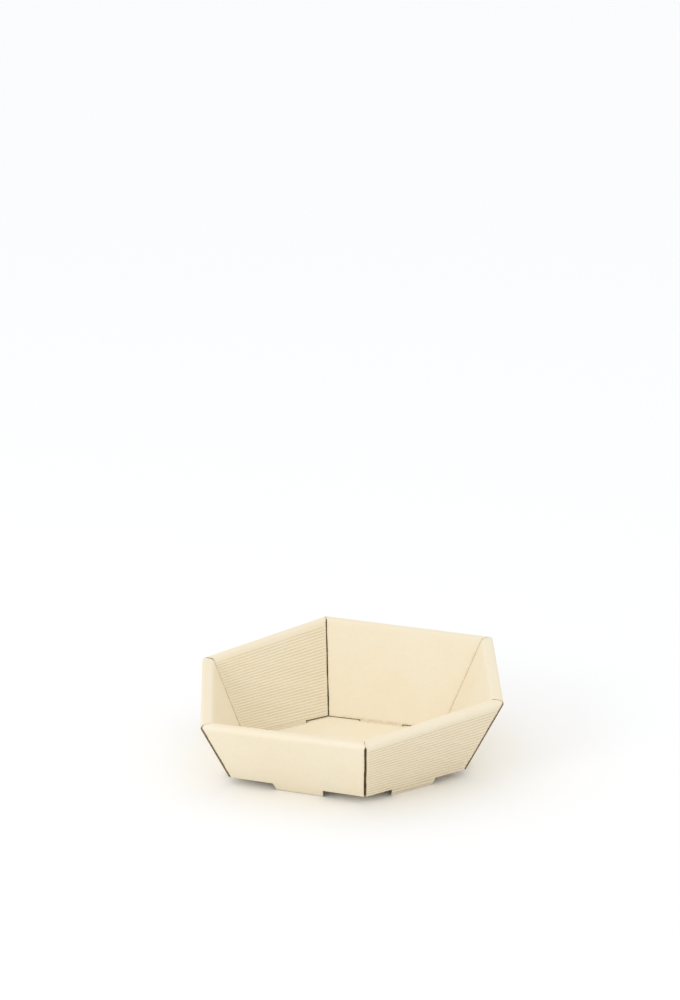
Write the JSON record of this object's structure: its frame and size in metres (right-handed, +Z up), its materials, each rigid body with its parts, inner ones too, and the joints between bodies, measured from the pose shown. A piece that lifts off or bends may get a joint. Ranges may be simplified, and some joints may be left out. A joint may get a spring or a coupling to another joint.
{
  "type": "cardboard tray box",
  "caption": "Open hexagonal tray box folded from one sheet of fine-flute card, with leaning double walls, broad rounded ridges, slotted inner panels and small feet.",
  "frame": {"origin": "middle of the footprint, at the level of the feet", "axes": "+Z up; +Y from the front corner towards the back corner, across the corners; +X to the right, across the flats"},
  "size_m": [0.3458, 0.4038, 0.1049],
  "materials": {
    "card": "matte"
  },
  "bodies": {
    "root": {"tray": "card"}
  },
  "joints": []
}
